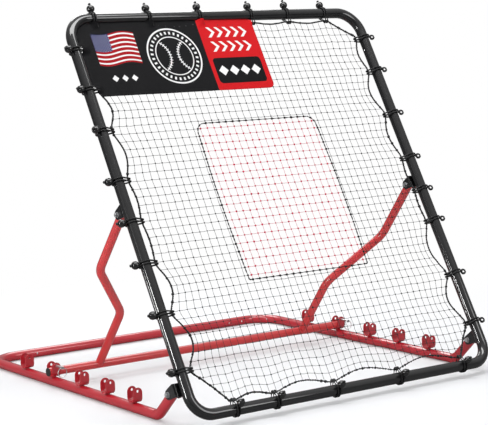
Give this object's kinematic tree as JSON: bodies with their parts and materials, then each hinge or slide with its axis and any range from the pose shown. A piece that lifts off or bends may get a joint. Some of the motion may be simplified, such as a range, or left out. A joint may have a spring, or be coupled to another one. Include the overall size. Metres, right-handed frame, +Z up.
{
  "type": "rebounder net",
  "caption": "Leaning net frame with a target zone, on a ground base with pivots, a prop arm and adjustment clips, for throwing a ball that comes back.",
  "frame": {"origin": "on the ground, in the middle of the whole object's box", "axes": "+X to the right as seen by the thrower, +Y away from the thrower, +Z up"},
  "size_m": [1.2816, 1.3124, 1.2457],
  "materials": {
    "red_tube": "gloss red powder coat",
    "black_tube": "gloss black powder coat",
    "red_prop": "gloss orange-red powder coat",
    "zinc": "bright zinc plate",
    "black_cord": "knotted polyester twine",
    "red_cord": "knotted polyester twine",
    "banner_cloth": "printed woven polyester with a coating",
    "ball_plastic": "moulded, slightly glossy",
    "elastic": "woven cover over an elastic core",
    "plug_plastic": "moulded"
  },
  "bodies": {
    "base": {"base_back_bar": "red_tube", "base_side_left": "red_tube", "base_side_right": "red_tube", "base_leg_left": "red_tube", "base_leg_right": "red_tube", "base_sleeves": "zinc", "base_snap_buttons": "zinc", "clip_left_1": "red_tube", "clip_left_2": "red_tube", "clip_left_3": "red_tube", "clip_left_4": "red_tube", "clip_left_5": "red_tube", "clip_right_1": "red_tube", "clip_right_2": "red_tube", "clip_right_3": "red_tube", "clip_right_4": "red_tube", "clip_right_5": "red_tube", "clip_ears_left": "red_tube", "clip_ears_right": "red_tube"},
    "front_frame": {"frame_top_bend": "black_tube", "frame_side_left": "black_tube", "frame_side_right": "black_tube", "frame_bottom_bend": "black_tube", "frame_snap_buttons": "zinc", "bracket_lower_left": "black_tube", "bracket_lower_right": "black_tube", "bracket_upper_left": "black_tube", "bracket_upper_right": "black_tube", "pivot_bolts_lower": "zinc", "pivot_nuts_lower": "zinc", "pivot_bolts_upper": "zinc", "pivot_nuts_upper": "zinc", "net": "black_cord", "net_edge_rope": "black_cord", "target_net": "red_cord", "target_cord": "black_cord", "banner": "banner_cloth", "bungee_balls_top": "ball_plastic", "bungee_balls_bottom": "ball_plastic", "bungee_balls_left": "ball_plastic", "bungee_balls_right": "ball_plastic", "bungee_cords_top": "elastic", "bungee_cords_bottom": "elastic", "bungee_cords_left": "elastic", "bungee_cords_right": "elastic"},
    "prop": {"prop_crossbar": "red_prop", "prop_arm_left": "red_prop", "prop_arm_right": "red_prop", "crossbar_plugs": "plug_plastic"},
    "lock_pin_left": {"lock_pin_left": "zinc"},
    "lock_pin_right": {"lock_pin_right": "zinc"},
    "lock_ring_left": {"lock_ring_left": "zinc"},
    "lock_ring_right": {"lock_ring_right": "zinc"}
  },
  "joints": [
    {"name": "frame_tilt", "type": "hinge", "parent": "base", "child": "front_frame", "pos_m": [0.0066, -0.52327, 0.09527], "axis": [1, 0, 0], "range_deg": [0, 14]},
    {"name": "prop_swing", "type": "hinge", "parent": "front_frame", "child": "prop", "pos_m": [0.0066, -0.2397, 0.60243], "axis": [1, 0, 0], "range_deg": [-1, 0]},
    {"name": "lock_pin_left_slide", "type": "slide", "parent": "base", "child": "lock_pin_left", "axis": [0, 1, 0], "range_m": [0, 0.034]},
    {"name": "lock_ring_left_swing", "type": "hinge", "parent": "lock_pin_left", "child": "lock_ring_left", "pos_m": [-0.5984, 0.1284, 0.06945], "axis": [-1, 0, 0], "range_deg": [0, 120]},
    {"name": "lock_pin_right_slide", "type": "slide", "parent": "base", "child": "lock_pin_right", "axis": [0, 1, 0], "range_m": [0, 0.034]},
    {"name": "lock_ring_right_swing", "type": "hinge", "parent": "lock_pin_right", "child": "lock_ring_right", "pos_m": [0.6116, 0.1284, 0.06945], "axis": [-1, 0, 0], "range_deg": [0, 120]}
  ],
  "couplings": [
    {"joint": "prop_swing", "follows": "frame_tilt", "ratio": -0.0466}
  ]
}
